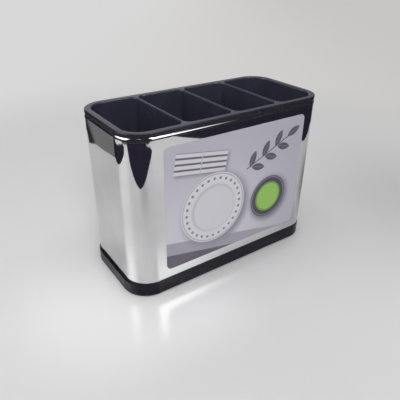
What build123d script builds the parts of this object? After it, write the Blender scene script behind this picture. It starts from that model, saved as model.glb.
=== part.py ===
import os

from build123d import *

# Cutlery holder. A black base tray stands on four rubber feet, a polished steel sleeve stands on
# the seat of the tray, and a black insert with a row of compartments hangs in the sleeve by its rim.
# Millimetres, Z up. X runs along the long side, and the labelled front faces -Y.
# The origin is on the surface that the holder stands on, under the middle of the holder.

# Steel sleeve
sleeve_length = 180.0
sleeve_depth = 84.0
sleeve_height = 117.9
sleeve_corner_radius = 19.0
steel_thickness = 0.6

# Rolled bead round the mouth of the sleeve
bead_height = 2.6
bead_width = 2.2
bead_proud = 0.4
bead_edge_radius = 0.9

# Base tray: a seat all but level with the outside of the sleeve, ends that reach out below a steep
# shoulder, and an upstand that holds the foot of the sleeve from inside
seat_proud = 0.15
seat_edge_radius = 0.3
shoulder_reach = 1.65
shoulder_height = 2.4
base_height = 12.3
base_floor = 2.6
base_corner_growth = 2.0
base_bottom_radius = 0.5
upstand_height = 5.0
upstand_wall = 2.0
upstand_lead_in = 0.8
upstand_clearance = 0.4
tray_floor_radius = 1.5

# Rubber feet, pressed into recesses under the tray
foot_diameter = 12.0
foot_thickness = 2.0
foot_proud = 0.7
foot_inset = 18.0
foot_clearance = 0.2
foot_edge_radius = 0.4

# Compartment insert, one moulding with its rim and dividers
compartment_count = 4
rim_thickness = 3.0
rim_width = 5.2
rim_top_radius = 0.8
rim_lower_radius = 0.4
divider_thickness = 2.4
divider_root_radius = 5.5
mouth_edge_radius = 1.1
insert_wall = 1.8
insert_floor = 2.0
insert_draft = 0.3
collar_height = 5.0
collar_clearance = 0.4
insert_gap_above_upstand = 1.0

# Drain holes in the floor of each compartment
drain_diameter = 6.0
drain_columns = 2
drain_rows = 3
drain_column_pitch = 16.0
drain_row_pitch = 20.0

# Adhesive label, with its margins to the edges of the flat front of the sleeve
label_thickness = 0.15
label_corner_radius = 4.5
label_margin_left = 7.1
label_margin_right = 1.9
label_margin_above = 6.5
label_margin_below = 7.3

# Levels, from the standing surface upwards
tray_underside = foot_proud
tray_floor_level = tray_underside + base_floor
seat_level = tray_underside + base_height
shoulder_level = seat_level - shoulder_height
upstand_top = seat_level + upstand_height
insert_bottom = upstand_top + insert_gap_above_upstand
sleeve_top = seat_level + sleeve_height
rim_top = sleeve_top + rim_thickness

# Bore of the sleeve below the bead
bore_length = sleeve_length - 2 * steel_thickness
bore_depth = sleeve_depth - 2 * steel_thickness
bore_corner_radius = sleeve_corner_radius - steel_thickness

# Mouth of the sleeve inside the bead
bead_inset = bead_width - bead_proud
mouth_length = sleeve_length - 2 * bead_inset
mouth_depth = sleeve_depth - 2 * bead_inset
mouth_corner_radius = sleeve_corner_radius - bead_inset

# Opening of the insert, shared by the compartments and the dividers between them
opening_length = sleeve_length - 2 * rim_width
opening_depth = sleeve_depth - 2 * rim_width
opening_corner_radius = sleeve_corner_radius - rim_width
dividers_length = (compartment_count - 1) * divider_thickness
compartment_length = (opening_length - dividers_length) / compartment_count
compartment_pitch = compartment_length + divider_thickness

os.makedirs("parts", exist_ok=True)

# Steel sleeve: a straight rounded tube with a bead rolled round its mouth
with BuildPart() as steel_sleeve:
    with BuildSketch(Plane.XY.offset(sleeve_top - bead_height)):
        RectangleRounded(
            sleeve_length + 2 * bead_proud,
            sleeve_depth + 2 * bead_proud,
            sleeve_corner_radius + bead_proud,
        )
        RectangleRounded(mouth_length, mouth_depth, mouth_corner_radius, mode=Mode.SUBTRACT)
    extrude(amount=bead_height)
    bead_rings = steel_sleeve.edges().filter_by(Axis.Z, reverse=True)
    fillet(bead_rings, bead_edge_radius)
    with BuildSketch(Plane.XY.offset(seat_level)):
        RectangleRounded(sleeve_length, sleeve_depth, sleeve_corner_radius)
        RectangleRounded(bore_length, bore_depth, bore_corner_radius, mode=Mode.SUBTRACT)
    extrude(amount=sleeve_height - bead_height / 2)
steel_sleeve.part.label = "steel_sleeve"
export_step(steel_sleeve.part, "parts/steel_sleeve.step")

# Base tray: a low plinth with shouldered ends, a seat for the sleeve, an upstand and a drip space
seat_length = sleeve_length + 2 * seat_proud
seat_depth = sleeve_depth + 2 * seat_proud
base_length = seat_length + 2 * shoulder_reach
base_depth = seat_depth
upstand_length = bore_length - 2 * upstand_clearance
upstand_depth = bore_depth - 2 * upstand_clearance
upstand_corner_radius = bore_corner_radius - upstand_clearance
foot_recess = foot_thickness - foot_proud
foot_reach_x = base_length / 2 - foot_inset
foot_reach_y = base_depth / 2 - foot_inset
foot_places = {
    "foot_front_left": (-foot_reach_x, -foot_reach_y),
    "foot_front_right": (foot_reach_x, -foot_reach_y),
    "foot_rear_left": (-foot_reach_x, foot_reach_y),
    "foot_rear_right": (foot_reach_x, foot_reach_y),
}

with BuildPart() as base_tray:
    with BuildSketch(Plane.XY.offset(tray_underside)) as base_outline:
        RectangleRounded(base_length, base_depth, sleeve_corner_radius + base_corner_growth)
    extrude(amount=base_height - shoulder_height)
    fillet(base_tray.edges().group_by(Axis.Z)[0], base_bottom_radius)
    with BuildSketch(Plane.XY.offset(shoulder_level)):
        add(base_outline.sketch_local)
    with BuildSketch(Plane.XY.offset(seat_level)):
        RectangleRounded(seat_length, seat_depth, sleeve_corner_radius + seat_proud)
    loft(ruled=True)
    fillet(base_tray.edges().group_by(Axis.Z)[-1], seat_edge_radius)
    with BuildSketch(Plane.XY.offset(seat_level)):
        RectangleRounded(upstand_length, upstand_depth, upstand_corner_radius)
    extrude(amount=upstand_height)
    chamfer(base_tray.edges().group_by(Axis.Z)[-1], upstand_lead_in)
    with BuildSketch(Plane.XY.offset(tray_floor_level)):
        RectangleRounded(
            upstand_length - 2 * upstand_wall,
            upstand_depth - 2 * upstand_wall,
            upstand_corner_radius - upstand_wall,
        )
    extrude(amount=upstand_top - tray_floor_level, mode=Mode.SUBTRACT)
    tray_floor = base_tray.faces().filter_by_position(Axis.Z, tray_floor_level, tray_floor_level)
    fillet(tray_floor.edges(), tray_floor_radius)
    with BuildSketch(Plane.XY.offset(tray_underside)):
        with Locations(*foot_places.values()):
            Circle(foot_diameter / 2 + foot_clearance)
    extrude(amount=foot_recess, mode=Mode.SUBTRACT)
base_tray.part.label = "base_tray"
export_step(base_tray.part, "parts/base_tray.step")

# Rubber feet: one disc in each recess of the tray
for foot_name, foot_place in foot_places.items():
    with BuildPart() as rubber_foot:
        with BuildSketch(Plane.XY):
            with Locations(foot_place):
                Circle(foot_diameter / 2)
        extrude(amount=foot_thickness)
        fillet(rubber_foot.edges().group_by(Axis.Z)[0], foot_edge_radius)
    rubber_foot.part.label = foot_name
    export_step(rubber_foot.part, f"parts/{foot_name}.step")

# Compartment insert: the rim on the bead, a collar inside the bead, and the drafted compartments
with BuildPart() as compartment_insert:
    with BuildSketch(Plane.XY.offset(sleeve_top)):
        RectangleRounded(sleeve_length, sleeve_depth, sleeve_corner_radius)
    extrude(amount=rim_thickness)
    fillet(compartment_insert.edges().group_by(Axis.Z)[-1], rim_top_radius)
    fillet(compartment_insert.edges().group_by(Axis.Z)[0], rim_lower_radius)
    with BuildSketch(Plane.XY.offset(sleeve_top)):
        RectangleRounded(
            mouth_length - 2 * collar_clearance,
            mouth_depth - 2 * collar_clearance,
            mouth_corner_radius - collar_clearance,
        )
    extrude(amount=-collar_height)
    with BuildSketch(Plane.XY.offset(sleeve_top)):
        RectangleRounded(
            opening_length + 2 * insert_wall,
            opening_depth + 2 * insert_wall,
            opening_corner_radius + insert_wall,
        )
    extrude(amount=insert_bottom - sleeve_top, taper=insert_draft)
    for index in range(compartment_count):
        centre_x = (index - (compartment_count - 1) / 2) * compartment_pitch
        left_radius = opening_corner_radius if index == 0 else divider_root_radius
        right_radius = opening_corner_radius if index == compartment_count - 1 else divider_root_radius
        with BuildSketch(Plane.XY.offset(rim_top)) as compartment:
            with Locations((centre_x, 0)):
                Rectangle(compartment_length, opening_depth)
            fillet(compartment.vertices().group_by(Axis.X)[0], left_radius)
            fillet(compartment.vertices().group_by(Axis.X)[-1], right_radius)
        extrude(amount=insert_bottom + insert_floor - rim_top, taper=insert_draft, mode=Mode.SUBTRACT)
        with BuildSketch(Plane.XY.offset(insert_bottom)):
            with Locations((centre_x, 0)):
                with GridLocations(drain_column_pitch, drain_row_pitch, drain_columns, drain_rows):
                    Circle(drain_diameter / 2)
        extrude(amount=insert_floor, mode=Mode.SUBTRACT)
    rim_face = compartment_insert.faces().sort_by(Axis.Z)[-1]
    fillet(rim_face.inner_wires().edges(), mouth_edge_radius)
compartment_insert.part.label = "compartment_insert"
export_step(compartment_insert.part, "parts/compartment_insert.step")

# Front label: a thin rounded sheet that fills the flat front of the sleeve up to its margins
label_left = sleeve_corner_radius - sleeve_length / 2 + label_margin_left
label_right = sleeve_length / 2 - sleeve_corner_radius - label_margin_right
label_bottom = seat_level + label_margin_below
label_top = sleeve_top - bead_height - label_margin_above
label_centre = ((label_left + label_right) / 2, (label_bottom + label_top) / 2)
with BuildPart() as front_label:
    with BuildSketch(Plane.XZ.offset(sleeve_depth / 2)):
        with Locations(label_centre):
            RectangleRounded(label_right - label_left, label_top - label_bottom, label_corner_radius)
    extrude(amount=label_thickness)
front_label.part.label = "front_label"
export_step(front_label.part, "parts/front_label.step")
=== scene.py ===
import math

import bmesh
import bpy
from mathutils import Matrix, Vector


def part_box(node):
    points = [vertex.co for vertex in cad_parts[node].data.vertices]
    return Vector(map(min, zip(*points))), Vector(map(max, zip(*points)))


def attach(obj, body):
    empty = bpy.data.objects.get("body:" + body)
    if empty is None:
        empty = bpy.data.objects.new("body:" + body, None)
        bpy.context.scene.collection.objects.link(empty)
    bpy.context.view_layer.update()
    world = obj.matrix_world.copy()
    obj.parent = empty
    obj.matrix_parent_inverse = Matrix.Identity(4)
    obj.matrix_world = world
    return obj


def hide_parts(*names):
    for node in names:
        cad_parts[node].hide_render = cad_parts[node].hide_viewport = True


# Cutlery holder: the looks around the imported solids.
# Lengths are in millimetres, and MM turns them into the frame's metres. Angles are in degrees.
# X runs along the long side, the labelled front faces -Y, and Z is up.

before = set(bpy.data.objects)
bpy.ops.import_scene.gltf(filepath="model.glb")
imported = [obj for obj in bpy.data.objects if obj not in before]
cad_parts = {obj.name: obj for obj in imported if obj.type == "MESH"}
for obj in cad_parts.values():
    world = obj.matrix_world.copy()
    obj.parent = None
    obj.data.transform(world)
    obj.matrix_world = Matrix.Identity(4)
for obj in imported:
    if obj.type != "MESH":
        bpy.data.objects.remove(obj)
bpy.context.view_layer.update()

MM = 0.001


def solid_box(node_name):
    """Lowest and highest corner of a solid, to a thousandth of a millimetre."""
    return [[round(part / MM, 3) for part in corner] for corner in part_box(node_name)]


def level_direction(azimuth):
    """A level direction from its azimuth, which runs from +X towards +Y."""
    turn = math.radians(azimuth)
    return (math.cos(turn), math.sin(turn), 0.0)


# Steel sleeve: the bead of the solid stands proud of the straight sides all round
BEAD_PROUD = 0.4
BEAD_HEIGHT = 2.6
BEAD_INSIDE = 1.8
STEEL_THICKNESS = 0.6
SHEET_FOOT_EDGE = 0.2
SLEEVE_RADIUS = 19.0
sleeve_low, sleeve_high = solid_box("steel_sleeve")
SLEEVE_LENGTH = sleeve_high[0] - sleeve_low[0] - 2 * BEAD_PROUD
SLEEVE_DEPTH = sleeve_high[1] - sleeve_low[1] - 2 * BEAD_PROUD
SLEEVE_BOTTOM = sleeve_low[2]
SLEEVE_TOP = sleeve_high[2]

# Hem folded over the top of the sleeve: how far it stands out, its oval and its edges
HEM_PROUD = 0.32
HEM_OVAL_TALL = 2.4
HEM_OVAL_WIDE = 1.3
HEM_LOWER_EDGE = 0.06
HEM_NOTCH = 0.04
HEM_MOUTH_EDGE = 0.6
HEM_INNER_ROOT = 0.25

# Label on the front of the sleeve, with its softened front edge and its lift off the steel
LABEL_RADIUS = 4.5
LABEL_EDGE = 0.05
LABEL_LIFT = 0.01
label_low, label_high = solid_box("front_label")
LABEL_LEFT, LABEL_FRONT, LABEL_BOTTOM = label_low
LABEL_RIGHT, LABEL_BACK, LABEL_TOP = label_high

# Steps that round stretches and straight sides are divided into
SECTION_STEPS = 10
SLEEVE_CORNER_STEPS = 40
SLEEVE_SIDE_STEPS = 8
LABEL_CORNER_STEPS = 12


# Node helpers


class Graph:
    """Short names for the nodes of one shader tree."""

    def __init__(self, tree):
        self.tree = tree

    def put(self, socket, value):
        if hasattr(value, "links"):
            self.tree.links.new(value, socket)
        else:
            socket.default_value = value

    def node(self, kind, **settings):
        node = self.tree.nodes.new(kind)
        for key, value in settings.items():
            setattr(node, key, value)
        return node

    def math(self, operation, a, b=0.0):
        node = self.node("ShaderNodeMath", operation=operation)
        self.put(node.inputs[0], a)
        self.put(node.inputs[1], b)
        return node.outputs[0]

    def times(self, first, *others):
        for other in others:
            first = self.math("MULTIPLY", first, other)
        return first

    def vector(self, operation, a, b=(0.0, 0.0, 0.0)):
        node = self.node("ShaderNodeVectorMath", operation=operation)
        self.put(node.inputs[0], a)
        self.put(node.inputs[1], b)
        return node.outputs["Value"] if operation in ("DOT_PRODUCT", "LENGTH") else node.outputs[0]

    def axes(self, vector):
        node = self.node("ShaderNodeSeparateXYZ")
        self.put(node.inputs[0], vector)
        return node.outputs

    def remap(self, value, low, high, to_low=0.0, to_high=1.0, smooth=True):
        node = self.node("ShaderNodeMapRange")
        node.interpolation_type = "SMOOTHSTEP" if smooth else "LINEAR"
        for socket, given in zip(node.inputs, (value, low, high, to_low, to_high)):
            self.put(socket, given)
        return node.outputs[0]

    def mix(self, factor, a, b):
        node = self.node("ShaderNodeMix", data_type="RGBA")
        self.put(node.inputs[0], factor)
        self.put(node.inputs[6], a)
        self.put(node.inputs[7], b)
        return node.outputs[2]

    def mix_shaders(self, factor, first, second):
        node = self.node("ShaderNodeMixShader")
        for socket, given in zip(node.inputs, (factor, first, second)):
            self.put(socket, given)
        return node.outputs[0]

    def noise(self, where, scale, detail=2.0, rough=0.5, stretch=None):
        if stretch is not None:
            where = self.vector("MULTIPLY", where, stretch)
        node = self.node("ShaderNodeTexNoise")
        self.put(node.inputs["Vector"], where)
        node.inputs["Scale"].default_value = scale
        node.inputs["Detail"].default_value = detail
        node.inputs["Roughness"].default_value = rough
        return node.outputs[0]

    def place(self):
        """Place on the piece in millimetres."""
        coordinates = self.node("ShaderNodeTexCoord")
        return self.vector("MULTIPLY", coordinates.outputs["Object"], (1 / MM, 1 / MM, 1 / MM))

    def bump(self, height, distance, normal=None):
        """A normal from a height of 0 to 1 that stands for a distance."""
        node = self.node("ShaderNodeBump")
        node.inputs["Distance"].default_value = distance * MM
        self.put(node.inputs["Height"], height)
        if normal is not None:
            self.put(node.inputs["Normal"], normal)
        return node.outputs[0]


def outline_distance(graph, place):
    """How far a place lies outside the outline of the sleeve seen from above, negative inside."""
    middle = (SLEEVE_LENGTH / 2 - SLEEVE_RADIUS, SLEEVE_DEPTH / 2 - SLEEVE_RADIUS, 0.0)
    beyond = graph.vector("SUBTRACT", graph.vector("ABSOLUTE", place), middle)
    beyond = graph.vector("MULTIPLY", graph.vector("MAXIMUM", beyond), (1.0, 1.0, 0.0))
    return graph.math("SUBTRACT", graph.vector("LENGTH", beyond), SLEEVE_RADIUS)


def srgb(red, green, blue):
    """A colour as it is seen on a screen, 0 to 255, as the linear colour that shaders take."""
    linear = []
    for part in (red, green, blue):
        value = part / 255.0
        linear.append(value / 12.92 if value <= 0.04045 else ((value + 0.055) / 1.055) ** 2.4)
    return (*linear, 1.0)


def empty_material(name):
    """A material with nothing but its output, as the material, its graph and the socket of its surface."""
    made = bpy.data.materials.new(name)
    made.use_nodes = True
    made.node_tree.nodes.clear()
    graph = Graph(made.node_tree)
    return made, graph, graph.node("ShaderNodeOutputMaterial").inputs["Surface"]


def new_material(name):
    """A material with one surface shader, as the material, its graph and the shader's sockets."""
    made, graph, surface = empty_material(name)
    shader = graph.node("ShaderNodeBsdfPrincipled")
    graph.put(surface, shader.outputs[0])
    return made, graph, shader.inputs


# Materials of the object


def steel_material():
    """Mirror-polished sheet, a little wavy, unevenly wiped, with level hairlines."""
    made, graph, shader = new_material("steel_mirror")
    place = graph.place()
    smear = graph.noise(place, scale=0.035, detail=3.0, rough=0.55)
    hairline = graph.noise(place, scale=1.0, detail=2.0, rough=0.6, stretch=(0.15, 0.15, 5.0))
    wave = graph.noise(place, scale=0.016, detail=1.0, rough=0.4, stretch=(1.0, 1.0, 0.45))
    dull, clean = (0.68, 0.68, 0.685, 1), (0.72, 0.72, 0.725, 1)
    hairline_haze = 0.015
    shader["Metallic"].default_value = 1.0
    graph.put(shader["Base Color"], graph.mix(graph.remap(smear, 0.35, 0.65), dull, clean))
    haze = graph.remap(smear, 0.45, 0.75, to_low=0.02, to_high=0.055)
    graph.put(shader["Roughness"], graph.math("ADD", haze, graph.times(hairline, hairline_haze)))
    graph.put(shader["Normal"], graph.bump(wave, distance=0.2))
    return made


def plastic_material(name, colour, pale, rough, ior, outside=None):
    """Moulded plastic, with painted shade on the outside of the rim where a darker colour for it is given."""
    made, graph, shader = new_material(name)
    place = graph.place()
    cloud = graph.noise(place, scale=0.05, detail=3.0, rough=0.55)
    grain = graph.noise(place, scale=2.6, detail=2.0, rough=0.6)
    rub = graph.noise(place, scale=0.5, detail=4.0, rough=0.65, stretch=(1.0, 1.0, 0.12))
    rough_spread, rubbed_haze = 0.02, 0.03
    outside_shade_begins, outside_shade_full = -1.3, -0.4
    tone = graph.mix(graph.remap(cloud, 0.3, 0.7), colour, pale)
    # Painted shade: the outside of the rim takes the darker colour
    if outside is not None:
        outside_shade = graph.remap(outline_distance(graph, place), outside_shade_begins, outside_shade_full)
        tone = graph.mix(outside_shade, tone, outside)
    graph.put(shader["Base Color"], tone)
    gloss = graph.remap(cloud, 0.3, 0.7, to_low=rough - rough_spread, to_high=rough + rough_spread)
    rubbed = graph.remap(rub, 0.55, 0.8, to_low=0.0, to_high=rubbed_haze)
    graph.put(shader["Roughness"], graph.math("ADD", gloss, rubbed))
    shader["IOR"].default_value = ior
    graph.put(shader["Normal"], graph.bump(grain, distance=0.01))
    return made


def rubber_material():
    """Dull rubber with a little dust on it."""
    made, graph, shader = new_material("rubber_foot")
    place = graph.place()
    grain = graph.noise(place, scale=1.8, detail=3.0, rough=0.65)
    dust = graph.noise(place, scale=0.25, detail=2.0, rough=0.5)
    black, dusty = (0.018, 0.018, 0.019, 1), (0.045, 0.044, 0.043, 1)
    graph.put(shader["Base Color"], graph.mix(graph.remap(dust, 0.45, 0.75), black, dusty))
    graph.put(shader["Roughness"], graph.remap(grain, 0.3, 0.7, to_low=0.72, to_high=0.9))
    graph.put(shader["Normal"], graph.bump(grain, distance=0.04))
    return made


# Print of the label: a laid place with a striped cloth, a dish, a bowl and a sprig, as plain flat shapes.
# Places on it are measured from its lower left corner, and INK_EDGE is how soft the edge of a shape is.

INKS = {
    "wall_low": srgb(206, 203, 212),
    "wall_high": srgb(186, 183, 195),
    "wall_right": srgb(178, 177, 189),
    "table": srgb(164, 160, 173),
    "table_front": srgb(99, 95, 107),
    "cloth_shadow": srgb(156, 154, 166),
    "cloth": srgb(213, 211, 217),
    "cloth_band": srgb(99, 95, 107),
    "cloth_fold": srgb(190, 188, 199),
    "dish_shadow": srgb(147, 144, 157),
    "dish": srgb(216, 215, 219),
    "dish_rim": srgb(174, 172, 183),
    "dish_dots": srgb(133, 129, 143),
    "well_shadow": srgb(190, 189, 198),
    "well": srgb(210, 209, 216),
    "bowl_shadow": srgb(133, 129, 142),
    "bowl": srgb(74, 70, 82),
    "bowl_rim": srgb(133, 129, 141),
    "bowl_inside": srgb(147, 196, 92),
    "bowl_inside_edge": srgb(113, 160, 70),
    "leaf": srgb(88, 84, 96),
    "vein": srgb(129, 125, 138),
    "speck": srgb(106, 103, 115),
}
INK_EDGE = 0.25


class Page:
    """Masks of the flat shapes that are printed on the label."""

    def __init__(self, graph, place):
        self.graph = graph
        x, _, z = graph.axes(place)
        self.across = graph.math("SUBTRACT", x, LABEL_LEFT)
        self.up = graph.math("SUBTRACT", z, LABEL_BOTTOM)

    def reach(self, spot):
        """Distances across and up from a place."""
        graph = self.graph
        return graph.math("SUBTRACT", self.across, spot[0]), graph.math("SUBTRACT", self.up, spot[1])

    def span(self, one, other):
        """The straight distance from two distances at right angles."""
        graph = self.graph
        return graph.math("SQRT", graph.math("ADD", graph.times(one, one), graph.times(other, other)))

    def within(self, distance, half, edge=INK_EDGE):
        """One up to a half width to either side, nothing beyond it."""
        return self.graph.remap(self.graph.math("ABSOLUTE", distance), half - edge, half + edge, 1.0, 0.0)

    def disc(self, spot, radius, edge=INK_EDGE):
        return self.within(self.span(*self.reach(spot)), radius, edge)

    def ring(self, spot, radius, width):
        away = self.span(*self.reach(spot))
        return self.within(self.graph.math("SUBTRACT", away, radius - width / 2), width / 2)

    def dots(self, spot, radius, count, size):
        """Round dots spaced evenly round a circle."""
        graph = self.graph
        dx, dy = self.reach(spot)
        pitch = 2.0 * math.pi * radius / count
        along = graph.math("PINGPONG", graph.times(graph.math("ARCTAN2", dy, dx), radius), pitch / 2)
        return self.within(self.span(along, graph.math("SUBTRACT", self.span(dx, dy), radius)), size / 2)

    def leaf(self, spot, length, width, angle):
        """The lens where two equal circles overlap."""
        radius = (length * length + width * width) / (4 * width)
        offset = radius - width / 2
        turn = math.radians(angle)
        aside = (-math.sin(turn) * offset, math.cos(turn) * offset)
        one = self.disc((spot[0] + aside[0], spot[1] + aside[1]), radius)
        other = self.disc((spot[0] - aside[0], spot[1] - aside[1]), radius)
        return self.graph.times(one, other)

    def turned(self, spot, angle):
        """Distances along and aside of a line through a point."""
        graph = self.graph
        turn = math.radians(angle)
        dx, dy = self.reach(spot)
        along = graph.math("ADD", graph.times(dx, math.cos(turn)), graph.times(dy, math.sin(turn)))
        aside = graph.math("SUBTRACT", graph.times(dy, math.cos(turn)), graph.times(dx, math.sin(turn)))
        return along, aside

    def panel(self, spot, length, width, angle, edge=INK_EDGE):
        along, aside = self.turned(spot, angle)
        return self.graph.times(self.within(along, length / 2, edge), self.within(aside, width / 2, edge))

    def stripes(self, spot, pitch, width, angle):
        aside = self.turned(spot, angle)[1]
        return self.within(self.graph.math("PINGPONG", aside, pitch / 2), width / 2)


def label_ground(page):
    """A pale wall, and below it a table whose edge falls to the right."""
    graph = page.graph
    tone_from, tone_to = 25.0, 100.0
    shade_from, shade_to, most_shade = 55.0, LABEL_RIGHT - LABEL_LEFT, 0.85
    table_slope, table_height, table_depth, edge = -0.2, 24.0, 11.0, 0.4
    wall = graph.mix(graph.remap(page.up, tone_from, tone_to), INKS["wall_low"], INKS["wall_high"])
    shade = graph.remap(page.across, shade_from, shade_to, to_high=most_shade)
    colour = graph.mix(shade, wall, INKS["wall_right"])
    table = graph.math("ADD", graph.times(page.across, table_slope), table_height)
    above_table = graph.math("SUBTRACT", page.up, table)
    above_front = graph.math("ADD", above_table, table_depth)
    colour = graph.mix(graph.remap(above_table, -edge, edge, 1.0, 0.0), colour, INKS["table"])
    return graph.mix(graph.remap(above_front, -edge, edge, 1.0, 0.0), colour, INKS["table_front"])


def cloth_layers(page):
    """A folded cloth with long stripes, and its soft shadow."""
    spot, length, width, angle = (31.0, 83.0), 46.0, 17.0, -9.0
    shadow_spot, shadow_growth = (32.5, 81.5), 1.0
    shadow = page.panel(shadow_spot, length + shadow_growth, width + shadow_growth, angle, edge=1.8)
    cloth = page.panel(spot, length, width, angle)
    bands = page.stripes(spot, pitch=4.4, width=1.5, angle=angle)
    fold = page.panel(spot, length=0.8, width=width, angle=angle)
    return [
        (shadow, INKS["cloth_shadow"]),
        (cloth, INKS["cloth"]),
        (page.graph.times(cloth, bands), INKS["cloth_band"]),
        (fold, INKS["cloth_fold"]),
    ]


def dish_layers(page):
    """A dish with a ring of dots and a well, and its soft shadow."""
    spot, shadow_spot, well_spot = (43.0, 42.0), (46.0, 39.0), (43.6, 41.4)
    return [
        (page.disc(shadow_spot, radius=32.0, edge=5.0), INKS["dish_shadow"]),
        (page.disc(spot, radius=30.0), INKS["dish"]),
        (page.ring(spot, radius=29.2, width=0.9), INKS["dish_rim"]),
        (page.dots(spot, radius=25.2, count=28, size=2.4), INKS["dish_dots"]),
        (page.disc(spot, radius=20.5, edge=1.6), INKS["well_shadow"]),
        (page.disc(well_spot, radius=19.0, edge=1.2), INKS["well"]),
    ]


def bowl_layers(page):
    """A dark bowl that is green inside, and its soft shadow."""
    spot, shadow_spot, inside = (100.0, 35.0), (101.5, 33.0), 13.5
    return [
        (page.disc(shadow_spot, radius=21.0, edge=4.0), INKS["bowl_shadow"]),
        (page.disc(spot, radius=19.0), INKS["bowl"]),
        (page.ring(spot, radius=18.2, width=0.9), INKS["bowl_rim"]),
        (page.disc(spot, radius=inside, edge=0.5), INKS["bowl_inside"]),
        (page.ring(spot, radius=inside, width=1.4), INKS["bowl_inside_edge"]),
    ]


def sprig_layers(page):
    """A stem, and leaves given by their place and their turn."""
    leaves = (
        ((80, 74), 68),
        ((86, 66), -14),
        ((93, 80), 66),
        ((99, 72), -16),
        ((106, 86), 64),
        ((112, 78), -14),
        ((122, 89), 26),
    )
    layers = [(page.panel((97.0, 77.0), length=50.0, width=0.9, angle=24.0), INKS["leaf"])]
    for spot, angle in leaves:
        layers.append((page.leaf(spot, length=14.0, width=6.0, angle=angle), INKS["leaf"]))
        layers.append((page.panel(spot, length=10.0, width=0.7, angle=angle), INKS["vein"]))
    return layers


def label_material():
    """Printed paper with a faint speck, lying not quite flat."""
    made, graph, shader = new_material("label_paper")
    place = graph.place()
    page = Page(graph, place)
    colour = label_ground(page)
    for mask, ink in cloth_layers(page) + dish_layers(page) + bowl_layers(page) + sprig_layers(page):
        colour = graph.mix(mask, colour, ink)
    speck = graph.noise(place, scale=3.0, detail=2.0, rough=0.6)
    lay = graph.noise(place, scale=0.06, detail=2.0, rough=0.5)
    colour = graph.mix(graph.remap(speck, 0.2, 0.8, to_high=0.05), colour, INKS["speck"])
    graph.put(shader["Base Color"], colour)
    graph.put(shader["Roughness"], graph.remap(speck, 0.3, 0.7, to_low=0.38, to_high=0.46))
    shader["IOR"].default_value = 1.45
    fibre = graph.bump(speck, distance=0.004)
    graph.put(shader["Normal"], graph.bump(lay, distance=0.06, normal=fibre))
    return made


# Shapes of the object


def rounded_outline(length, depth, radius, corner_steps, side_steps):
    """Points and outward normals round a rectangle with round corners, anticlockwise."""
    points = []
    corners = ((1, -1, -90.0), (1, 1, 0.0), (-1, 1, 90.0), (-1, -1, 180.0))
    for side_x, side_y, start in corners:
        centre = Vector((side_x * (length / 2 - radius), side_y * (depth / 2 - radius)))
        for step in range(corner_steps + 1):
            turn = math.radians(start + 90.0 * step / corner_steps)
            normal = Vector((math.cos(turn), math.sin(turn)))
            points.append((centre + normal * radius, normal))
    full = []
    for index, (point, normal) in enumerate(points):
        full.append((point, normal))
        following = points[(index + 1) % len(points)][0]
        if (index + 1) % (corner_steps + 1) == 0:
            for step in range(1, side_steps):
                full.append((point.lerp(following, step / side_steps), normal))
    return full


def rounded_section(corners, steps):
    """A closed section as points with normals, from right-angled corners, anticlockwise.

    Each corner is (x, z, reach before, reach after), and a quarter oval rounds it over those two reaches.
    """
    made = []
    count = len(corners)
    for index, (x, z, reach_before, reach_after) in enumerate(corners):
        here = Vector((x, z))
        before = Vector(corners[index - 1][:2])
        after = Vector(corners[(index + 1) % count][:2])
        into = (here - before).normalized() * reach_before
        out = (after - here).normalized() * reach_after
        for step in range(steps + 1):
            turn = math.pi / 2 * step / steps
            spot = here - into * (1 - math.sin(turn)) + out * (1 - math.cos(turn))
            along = into * math.cos(turn) + out * math.sin(turn)
            made.append((spot, Vector((along.y, -along.x)).normalized()))
    return made


def add_object(name, mesh, made):
    piece = bpy.data.objects.new(name, mesh)
    bpy.context.scene.collection.objects.link(piece)
    mesh.materials.append(made)
    return piece


def swept_ring(name, outline, section, made):
    """A section swept round an outline, with the shape's exact normals, so that reflections stay smooth."""
    places, normals, faces = [], [], []
    for point, outward in outline:
        for spot, lean in section:
            places.append((
                (point.x + outward.x * spot.x) * MM,
                (point.y + outward.y * spot.x) * MM,
                spot.y * MM,
            ))
            normals.append((outward.x * lean.x, outward.y * lean.x, lean.y))
    rows, columns = len(outline), len(section)
    for row in range(rows):
        following = (row + 1) % rows
        for column in range(columns):
            beside = (column + 1) % columns
            faces.append((
                row * columns + column,
                following * columns + column,
                following * columns + beside,
                row * columns + beside,
            ))
    mesh = bpy.data.meshes.new(name)
    mesh.from_pydata(places, [], faces)
    mesh.update()
    mesh.polygons.foreach_set("use_smooth", [True] * len(mesh.polygons))
    mesh.normals_split_custom_set_from_vertices(normals)
    return add_object(name, mesh, made)


def make_sleeve(made):
    """The sheet with the hem folded over its top edge: an oval outside with a sharp lower edge."""
    hem_low = SLEEVE_TOP - BEAD_HEIGHT
    section = rounded_section(
        [
            (0.0, SLEEVE_BOTTOM, SHEET_FOOT_EDGE, SHEET_FOOT_EDGE),
            (0.0, hem_low, HEM_NOTCH, HEM_NOTCH),
            (HEM_PROUD, hem_low, HEM_LOWER_EDGE, HEM_LOWER_EDGE),
            (HEM_PROUD, SLEEVE_TOP, HEM_OVAL_TALL, HEM_OVAL_WIDE),
            (-BEAD_INSIDE, SLEEVE_TOP, HEM_MOUTH_EDGE, HEM_MOUTH_EDGE),
            (-BEAD_INSIDE, hem_low, HEM_MOUTH_EDGE, HEM_MOUTH_EDGE),
            (-STEEL_THICKNESS, hem_low, HEM_INNER_ROOT, HEM_INNER_ROOT),
            (-STEEL_THICKNESS, SLEEVE_BOTTOM, SHEET_FOOT_EDGE, SHEET_FOOT_EDGE),
        ],
        SECTION_STEPS,
    )
    outline = rounded_outline(
        SLEEVE_LENGTH, SLEEVE_DEPTH, SLEEVE_RADIUS, SLEEVE_CORNER_STEPS, SLEEVE_SIDE_STEPS
    )
    return swept_ring("sleeve_sheet", outline, section, made)


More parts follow.
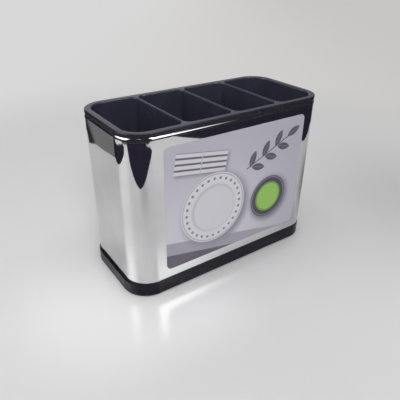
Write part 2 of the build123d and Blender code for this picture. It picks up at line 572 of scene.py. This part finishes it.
def make_label(made):
    """A thin sheet with round corners and a softened front edge."""
    length, height = LABEL_RIGHT - LABEL_LEFT, LABEL_TOP - LABEL_BOTTOM
    centre = Vector(((LABEL_LEFT + LABEL_RIGHT) / 2, (LABEL_BOTTOM + LABEL_TOP) / 2))
    outline = rounded_outline(length, height, LABEL_RADIUS, LABEL_CORNER_STEPS, side_steps=1)
    rings = ((0.0, LABEL_BACK - LABEL_LIFT), (0.0, LABEL_FRONT + LABEL_EDGE), (LABEL_EDGE, LABEL_FRONT))
    sheet = bmesh.new()
    loops = []
    for inset, level in rings:
        loop = []
        for point, outward in outline:
            spot = centre + point - outward * inset
            loop.append(sheet.verts.new((spot.x * MM, level * MM, spot.y * MM)))
        loops.append(loop)
    count = len(outline)
    for low, high in zip(loops, loops[1:]):
        for index in range(count):
            following = (index + 1) % count
            sheet.faces.new((low[index], low[following], high[following], high[index]))
    sheet.faces.new(loops[-1])
    sheet.faces.new(list(reversed(loops[0])))
    bmesh.ops.recalc_face_normals(sheet, faces=sheet.faces)
    mesh = bpy.data.meshes.new("label_sheet")
    sheet.to_mesh(mesh)
    sheet.free()
    return add_object("label_sheet", mesh, made)


# The object

base_plastic = plastic_material(
    "base_plastic_moulded",
    colour=(0.0056, 0.0040, 0.0105, 1),
    pale=(0.0076, 0.0056, 0.0130, 1),
    rough=0.17,
    ior=1.275,
)
# The insert's rim is darker on its outside: painted shade
insert_plastic = plastic_material(
    "insert_plastic_moulded",
    colour=(0.039, 0.038, 0.061, 1),
    pale=(0.046, 0.045, 0.070, 1),
    rough=0.26,
    ior=1.42,
    outside=(0.021, 0.0195, 0.031, 1),
)
rubber = rubber_material()

sleeve = make_sleeve(steel_material())
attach(sleeve, "sleeve")
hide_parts("steel_sleeve")

label = make_label(label_material())
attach(label, "sleeve")
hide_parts("front_label")

finishes = {
    "base_tray": base_plastic,
    "compartment_insert": insert_plastic,
    "foot_front_left": rubber,
    "foot_front_right": rubber,
    "foot_rear_left": rubber,
    "foot_rear_right": rubber,
}
for node_name, finish in finishes.items():
    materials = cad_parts[node_name].data.materials
    materials.clear()
    materials.append(finish)


# Stage: a pale floor, and cards just above it for the dark room round the lit sheet, which show only in gloss

# The room's own directions: its back wall stands askew to the holder
ROOM_AZIMUTH = 54.9
REAR = level_direction(ROOM_AZIMUTH)
RIGHT = level_direction(ROOM_AZIMUTH - 90.0)
LEFT = level_direction(ROOM_AZIMUTH + 90.0)

# A ray to a card that is shorter than this comes from the floor just under the card
FLOOR_RAY = 4.0

# Half sizes of the square sheets, levels of the cards above the floor, and where the dark far room begins
FLOOR_HALF = 6000.0
FAR_HALF = 5000.0
PAINTED_SHADE_HALF = 340.0
FAR_LEVEL = 0.3
PAINTED_SHADE_LEVEL = 0.35
ROOM_LEVEL = 0.4
SIDE_LEVEL = 0.5
FAR_BEGINS = 308.0
FAR_EDGE = 6.0

# Pools of light and shade painted on the floor: centre, radius, how far the patch takes over and how pale it
# is
PAINTED_FLOOR_LIGHT_AND_SHADE = (
    ((-50.0, -140.0), 240.0, 1.0, 0.68),
    ((-55.0, -66.0), 66.0, 1.0, 0.79),
    ((-108.0, -24.0), 102.0, 1.0, 0.905),
    ((260.0, -80.0), 260.0, 0.8, 0.53),
)

# Painted shade over the floor that shows only in reflections: centre, radius and depth
SHADES = (
    ((195.0, -5.0), 130.0, 0.85),
    ((100.0, -72.0), 55.0, 0.3),
    ((-142.0, -196.0), 92.0, 0.36),
    ((-168.0, 145.0), 100.0, 0.16),
    ((-104.0, 14.0), 42.0, 0.26),
)


def square(half):
    return [(-half, -half), (half, -half), (half, half), (-half, half)]


def flat_stage(name, corners, level, made):
    """A level sheet of the stage."""
    mesh = bpy.data.meshes.new(name)
    mesh.from_pydata([(x * MM, y * MM, level * MM) for x, y in corners], [], [tuple(range(len(corners)))])
    mesh.update()
    card = add_object(name, mesh, made)
    return card


def gloss_only(card):
    """Keep a card out of everything but reflections."""
    card.visible_camera = False
    card.visible_diffuse = False
    card.visible_shadow = False
    card.visible_transmission = False
    card.visible_volume_scatter = False


def spot_mask(graph, place, centre, radius):
    """One at the centre of a round patch of floor, falling smoothly to nothing at its radius."""
    away = graph.vector("LENGTH", graph.vector("SUBTRACT", place, (*centre, 0.0)))
    return graph.remap(away, 0.0, radius, 1.0, 0.0)


def sheet_grey(level):
    """The grey of the floor sheet, with a trace less green."""
    return (level, 0.997 * level, level, 1)


def backdrop_light(graph, place):
    """The even pale background that the floor passes into, a little darker to the right."""
    pale, darker = srgb(217, 216, 216), srgb(199, 198, 196)
    pale_until, darker_from = -500.0, 700.0
    aside = graph.vector("DOT_PRODUCT", place, RIGHT)
    light = graph.node("ShaderNodeEmission")
    graph.put(light.inputs["Color"], graph.mix(graph.remap(aside, pale_until, darker_from), pale, darker))
    return light.outputs[0]


def floor_gloss(graph, place):
    """How glossy the floor is: most just round the holder, and less towards the front."""
    full_within, faint_beyond = 14.0, 64.0
    dull_before, full_behind = -150.0, -60.0
    near = graph.remap(outline_distance(graph, place), full_within, faint_beyond, to_low=0.43, to_high=0.08)
    behind = graph.remap(graph.axes(place)[1], dull_before, full_behind, to_low=0.4, to_high=1.0)
    return graph.times(near, behind)


def backdrop_share(graph, place):
    """How far the background takes over from the floor, where it is seen, mirrored or let through."""
    floor_until, backdrop_from = 260.0, 640.0
    far = graph.remap(graph.vector("LENGTH", place), floor_until, backdrop_from)
    path = graph.node("ShaderNodeLightPath").outputs
    seen = graph.math("MAXIMUM", path["Is Camera Ray"], path["Is Glossy Ray"])
    seen = graph.math("MAXIMUM", seen, path["Is Transmission Ray"])
    return graph.times(far, seen)


def floor_material():
    """Pale sheet, glossy and unevenly lit near the holder, with pools of light and shade painted into its
    colour there, passing into the background further away.
    """
    made, graph, surface = empty_material("floor_sheet")
    sheet = graph.node("ShaderNodeBsdfPrincipled")
    place = graph.place()
    cloud = graph.noise(place, scale=0.004, detail=2.0, rough=0.5)
    colour = graph.mix(cloud, sheet_grey(0.72), sheet_grey(0.745))
    # Painted light and shade: brighter pools and darker shade are mixed into the sheet's colour by place
    for centre, radius, share, level in PAINTED_FLOOR_LIGHT_AND_SHADE:
        patch = graph.times(spot_mask(graph, place, centre, radius), share)
        colour = graph.mix(patch, colour, sheet_grey(level))
    graph.put(sheet.inputs["Base Color"], colour)
    sheet.inputs["Roughness"].default_value = 0.27
    sheet.inputs["IOR"].default_value = 1.85
    graph.put(sheet.inputs["Specular IOR Level"], floor_gloss(graph, place))
    backdrop = backdrop_light(graph, place)
    graph.put(surface, graph.mix_shaders(backdrop_share(graph, place), sheet.outputs[0], backdrop))
    return made


def above_floor(graph):
    """One for a ray that comes from above, nothing for one from the gloss of the floor just under a card."""
    ray_length = graph.node("ShaderNodeLightPath").outputs["Ray Length"]
    return graph.math("GREATER_THAN", ray_length, FLOOR_RAY * MM)


def dark_material(name, colour, begins=None):
    """The unlit room, on a card that lets through rays from the floor just under it.

    Where a distance from the holder is given, the card is clear up to it, and clear to the rear.
    """
    made, graph, surface = empty_material(name)
    dull = graph.node("ShaderNodeBsdfPrincipled")
    place = graph.place()
    cloud = graph.noise(place, scale=0.006, detail=2.0, rough=0.5)
    cloud_lift = 1.3
    paler = (*(part * cloud_lift for part in colour[:3]), 1)
    graph.put(dull.inputs["Base Color"], graph.mix(cloud, colour, paler))
    dull.inputs["Roughness"].default_value = 1.0
    dull.inputs["Specular IOR Level"].default_value = 0.0
    solid = above_floor(graph)
    if begins is not None:
        beyond = graph.remap(outline_distance(graph, place), begins, begins + FAR_EDGE)
        rear = graph.vector("DOT_PRODUCT", graph.vector("NORMALIZE", place), REAR)
        solid = graph.times(solid, beyond, graph.remap(rear, 0.6, 0.8, 1.0, 0.0))
    clear = graph.node("ShaderNodeBsdfTransparent")
    graph.put(surface, graph.mix_shaders(solid, clear.outputs[0], dull.outputs[0]))
    return made


def painted_shade_material():
    """Painted shade over the floor that shows only in reflections, on a card that lets through rays from the
    floor just under it.
    """
    made, graph, surface = empty_material("room_painted_shade")
    place = graph.place()
    deepest = 0.0
    for centre, radius, depth in SHADES:
        patch = graph.times(spot_mask(graph, place, centre, radius), depth)
        deepest = graph.math("MAXIMUM", patch, deepest)
    shade = graph.times(deepest, above_floor(graph))
    white, grey = (1.0, 1.0, 1.0, 1), (0.3, 0.3, 0.3, 1)
    clear = graph.node("ShaderNodeBsdfTransparent")
    graph.put(clear.inputs["Color"], graph.mix(shade, white, grey))
    graph.put(surface, clear.outputs[0])
    return made


DARK = (0.022, 0.0195, 0.033, 1)
GREY = (0.20, 0.20, 0.20, 1)
room_dark = dark_material("room_dark", DARK)
room_grey = dark_material("room_grey", GREY)

# The dark room, and a grey patch to the left, painted into reflections round the lit sheet in front, to the
# right, to the left and behind, as outlines on the floor
room_front = [
    (-400, -80), (-330, -100), (-190, -180), (-120, -238), (-60, -278), (30, -312), (-15, -338),
    (-110, -352), (-220, -350), (-400, -180),
]
room_right = [
    (105, -342), (127, -314), (148, -293), (264, -209), (339, -115), (380, -24), (420, 0), (420, -342),
]
room_left = [
    (-191, 218), (-270, 135), (-325, 68), (-366, 5), (-390, -5), (-398, 40), (-362, 128), (-275, 236),
    (-310, 290), (-250, 340), (-218, 280),
]
room_side = [(-191, 218), (-218, 280), (-227, 335), (-221, 388), (-203, 327), (-188, 276), (-188, 246)]
room_rear = [(-188, 276), (-162, 322), (-120, 352), (-221, 388), (-203, 327)]

flat_stage("floor", square(FLOOR_HALF), 0.0, floor_material())
room_cards = (
    ("room_far", square(FAR_HALF), FAR_LEVEL, dark_material("room_far", DARK, begins=FAR_BEGINS)),
    ("room_painted_shade", square(PAINTED_SHADE_HALF), PAINTED_SHADE_LEVEL, painted_shade_material()),
    ("room_front", room_front, ROOM_LEVEL, room_dark),
    ("room_right", room_right, ROOM_LEVEL, room_dark),
    ("room_left", room_left, ROOM_LEVEL, room_dark),
    ("room_rear", room_rear, ROOM_LEVEL, room_dark),
    ("room_side", room_side, SIDE_LEVEL, room_grey),
)
for card_name, corners, level, made in room_cards:
    gloss_only(flat_stage(card_name, corners, level, made))


# Light

# Strips: how far off they stand, and the share of their half height where their ends begin to fade
STRIP_DISTANCE = 5000.0
STRIP_ENDS_FADE = 0.7


def strip_material(name, even_share, strength):
    """Light that is even over a share of the strip's width, and fades to its sides and its ends."""
    made, graph, surface = empty_material(name)
    aside, along, _ = graph.axes(graph.node("ShaderNodeTexCoord").outputs["UV"])
    level = graph.remap(graph.math("ABSOLUTE", aside), even_share, 1.0, strength, 0.0)
    ends = graph.remap(graph.math("ABSOLUTE", along), STRIP_ENDS_FADE, 1.0, 1.0, 0.0)
    light = graph.node("ShaderNodeEmission")
    graph.put(light.inputs["Strength"], graph.times(level, ends))
    graph.put(surface, light.outputs[0])
    return made


def glow_strip(name, azimuth, half_width, even_share, elevations, strength):
    """A tall lamp far off that shows only in gloss, placed and sized by angles seen from the holder."""
    middle = Vector(level_direction(azimuth)) * STRIP_DISTANCE
    aside = Vector(level_direction(azimuth + 90.0))
    side = aside * STRIP_DISTANCE * math.tan(math.radians(half_width))
    low, high = (Vector((0.0, 0.0, STRIP_DISTANCE * math.tan(math.radians(angle)))) for angle in elevations)
    corners = [middle - side + low, middle + side + low, middle + side + high, middle - side + high]
    mesh = bpy.data.meshes.new(name)
    mesh.from_pydata([tuple(corner * MM) for corner in corners], [], [(0, 1, 2, 3)])
    layer = mesh.uv_layers.new(name="strip")
    for corner, spot in enumerate(((-1, -1), (1, -1), (1, 1), (-1, 1))):
        layer.data[corner].uv = spot
    card = add_object(name, mesh, strip_material(name, even_share, strength))
    gloss_only(card)


glow_strip(
    "strip_right_high", azimuth=-59.5, half_width=11.0, even_share=0.2, elevations=(34.0, 64.0), strength=11.3
)
glow_strip(
    "strip_right_low", azimuth=-62.6, half_width=11.3, even_share=0.3, elevations=(5.0, 29.0), strength=2.1
)
glow_strip("strip_left", azimuth=160.0, half_width=37.0, even_share=0.3, elevations=(4.0, 62.0), strength=3.4)


def area_light(name, place, target, size, power):
    """A softbox that looks at a target, with its power in watts."""
    lamp = bpy.data.lights.new(name, "AREA")
    lamp.shape = "RECTANGLE"
    lamp.size, lamp.size_y = (side * MM for side in size)
    lamp.energy = power
    holder = bpy.data.objects.new(name, lamp)
    holder.location = Vector(place) * MM
    holder.rotation_euler = (Vector(target) - Vector(place)).to_track_quat("-Z", "Y").to_euler()
    bpy.context.scene.collection.objects.link(holder)
    return holder


area_light("softbox_above", place=(20, -100, 850), target=(0, -60, 0), size=(850, 320), power=1.9)
area_light("softbox_left", place=(-750, 200, 750), target=(0, 0, 50), size=(500, 400), power=1.0)
softbox_front = area_light(
    "softbox_front", place=(-540, -1480, 1230), target=(0, 0, 50), size=(700, 700), power=13.0
)
softbox_front.visible_glossy = False


def back_wall(graph, towards):
    """How far a direction meets the pale wall behind the holder, which is dimmer to its right."""
    back = graph.vector("DOT_PRODUCT", towards, REAR)
    left = graph.vector("DOT_PRODUCT", towards, LEFT)
    wide = graph.remap(back, 0.62, 0.8)
    low = graph.remap(graph.axes(towards)[2], 0.45, 0.62, 1.0, 0.0)
    bright = graph.remap(left, -0.115, 0.075, to_low=0.52, to_high=1.0)
    return graph.times(wide, low, bright)


def make_world():
    """Even soft light from all round, a pale background, and for gloss a dark room with a pale back wall."""
    world = bpy.data.worlds.new("studio")
    bpy.context.scene.world = world
    world.use_nodes = True
    world.node_tree.nodes.clear()
    world.cycles.sampling_method = "NONE"
    graph = Graph(world.node_tree)
    dim, bright = (0.42, 0.42, 0.43, 1), (0.52, 0.52, 0.52, 1)
    unlit, wall = (0.03, 0.03, 0.033, 1), (0.63, 0.63, 0.63, 1)
    background = (0.66, 0.66, 0.655, 1)
    towards = graph.node("ShaderNodeTexCoord").outputs["Generated"]
    left = graph.vector("DOT_PRODUCT", towards, LEFT)
    soft = graph.mix(graph.remap(left, -1.0, 1.0, smooth=False), dim, bright)
    room = graph.mix(back_wall(graph, towards), unlit, wall)
    path = graph.node("ShaderNodeLightPath").outputs
    direct = graph.math("LESS_THAN", path["Diffuse Depth"], 0.5)
    colour = graph.mix(graph.times(path["Is Glossy Ray"], direct), soft, room)
    colour = graph.mix(path["Is Camera Ray"], colour, background)
    light = graph.node("ShaderNodeBackground")
    graph.put(light.inputs["Color"], colour)
    graph.put(graph.node("ShaderNodeOutputWorld").inputs["Surface"], light.outputs[0])


make_world()


# Camera at the photo's angle, with its focal length and image size in pixels of the photo

CAMERA_AZIMUTH = -35.129
CAMERA_ELEVATION = 29.55
CAMERA_ROLL = 0.747
CAMERA_DISTANCE = 382.883
CAMERA_AIM_SIDE = -3.596
CAMERA_AIM_HEIGHT = 42.766
FOCAL_PIXELS = 429.685
IMAGE_PIXELS = 400.0
SENSOR = 36.0
CLIP_START = 10.0


def make_camera():
    elevation, roll = math.radians(CAMERA_ELEVATION), math.radians(CAMERA_ROLL)
    upright = Vector((0.0, 0.0, 1.0))
    level_right = Vector(level_direction(CAMERA_AZIMUTH))
    level_back = Vector(level_direction(CAMERA_AZIMUTH - 90.0))
    backward = level_back * math.cos(elevation) + upright * math.sin(elevation)
    right = level_right * math.cos(roll) + backward.cross(level_right) * math.sin(roll)
    upward = backward.cross(right)
    aim = level_right * CAMERA_AIM_SIDE + upright * CAMERA_AIM_HEIGHT
    spot = (aim + backward * CAMERA_DISTANCE) * MM
    lens = bpy.data.cameras.new("camera")
    lens.sensor_width = SENSOR
    lens.lens = FOCAL_PIXELS / IMAGE_PIXELS * SENSOR
    lens.clip_start = CLIP_START * MM
    camera = bpy.data.objects.new("camera", lens)
    camera.matrix_world = Matrix((
        (right.x, upward.x, backward.x, spot.x),
        (right.y, upward.y, backward.y, spot.y),
        (right.z, upward.z, backward.z, spot.z),
        (0.0, 0.0, 0.0, 1.0),
    ))
    bpy.context.scene.collection.objects.link(camera)
    bpy.context.scene.camera = camera


make_camera()
bpy.context.scene.view_settings.view_transform = "Standard"
